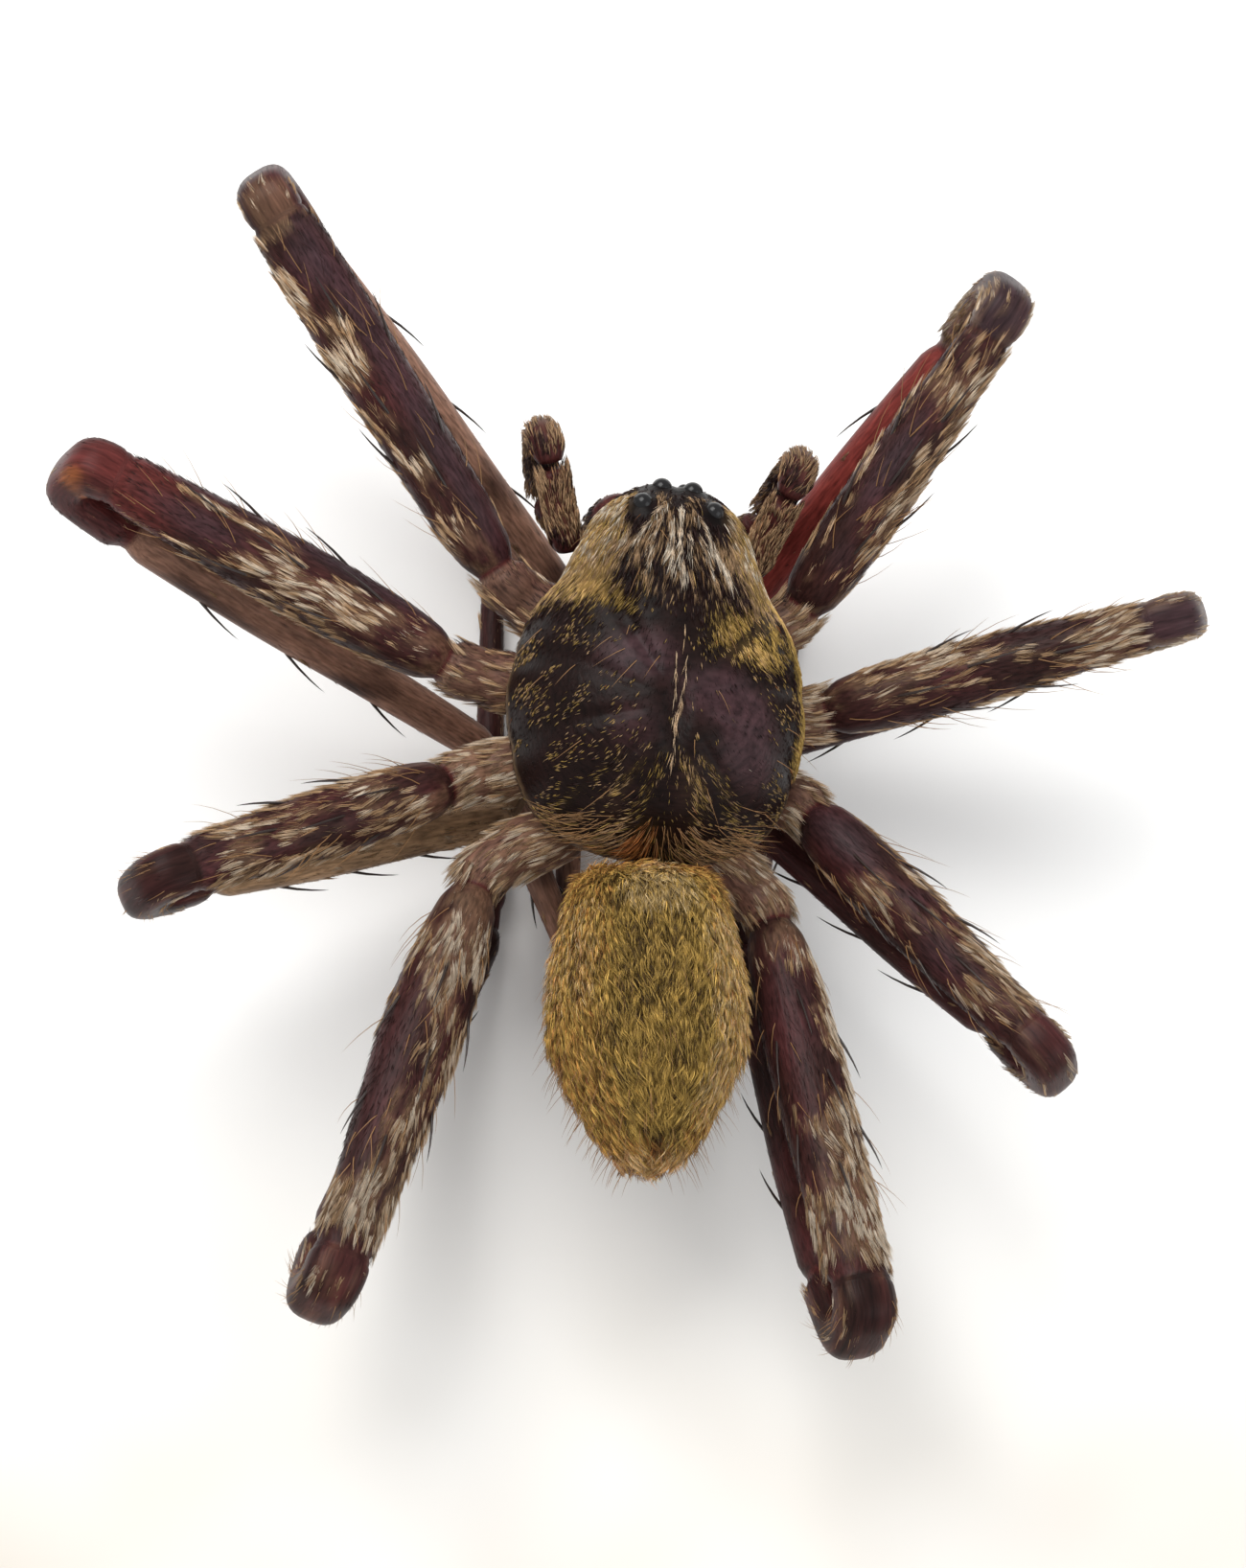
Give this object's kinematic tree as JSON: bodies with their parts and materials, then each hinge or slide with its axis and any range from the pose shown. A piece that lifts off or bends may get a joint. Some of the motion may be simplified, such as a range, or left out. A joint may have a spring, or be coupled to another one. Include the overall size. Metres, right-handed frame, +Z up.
{
  "type": "ctenus wandering spider",
  "caption": "Still, life-size model of a wandering spider with its legs folded back under a brown, hairy body, as a museum shows one.",
  "frame": {"origin": "on the floor, under the middle of the outline's box", "axes": "+Y towards the head, +X to the spider's right side, +Z up"},
  "size_m": [0.0428, 0.0426, 0.0152],
  "materials": {
    "cuticle": "dark maroon-brown, softly glossy cuticle under flattened pale hairs",
    "coat": "dense short olive-gold and brown hair",
    "joint skin": "pinkish-brown soft skin with pale hairs",
    "fang": "glossy, nearly black",
    "eye": "glossy black",
    "spine": "dark, glossy bristle"
  },
  "bodies": {
    "root": {"L1_coxa": "joint skin", "L1_femur": "cuticle", "L1_foot": "cuticle", "L1_patella": "cuticle", "L1_tibia": "cuticle", "L2_coxa": "joint skin", "L2_femur": "cuticle", "L2_foot": "cuticle", "L2_patella": "cuticle", "L2_tibia": "cuticle", "L3_coxa": "joint skin", "L3_femur": "cuticle", "L3_foot": "cuticle", "L3_patella": "cuticle", "L3_tibia": "cuticle", "L4_coxa": "joint skin", "L4_femur": "cuticle", "L4_foot": "cuticle", "L4_patella": "cuticle", "L4_tibia": "cuticle", "R1_coxa": "joint skin", "R1_femur": "cuticle", "R1_foot": "cuticle", "R1_patella": "cuticle", "R1_tibia": "cuticle", "R2_coxa": "joint skin", "R2_femur": "cuticle", "R2_foot": "cuticle", "R2_patella": "cuticle", "R2_tibia": "cuticle", "R3_coxa": "joint skin", "R3_femur": "cuticle", "R3_foot": "cuticle", "R3_patella": "cuticle", "R3_tibia": "cuticle", "R4_coxa": "joint skin", "R4_femur": "cuticle", "R4_foot": "cuticle", "R4_patella": "cuticle", "R4_tibia": "cuticle", "abdomen": "coat", "carapace": "cuticle", "chelicera_L": "cuticle", "chelicera_R": "cuticle", "fang_L": "fang", "fang_R": "fang", "palp_L_femur": "cuticle", "palp_L_maxilla": "joint skin", "palp_L_tarsus": "cuticle", "palp_L_tibia": "cuticle", "palp_R_femur": "cuticle", "palp_R_maxilla": "joint skin", "palp_R_tarsus": "cuticle", "palp_R_tibia": "cuticle", "pedicel": "joint skin", "spinnerets": "cuticle", "sternum": "cuticle"}
  },
  "joints": []
}
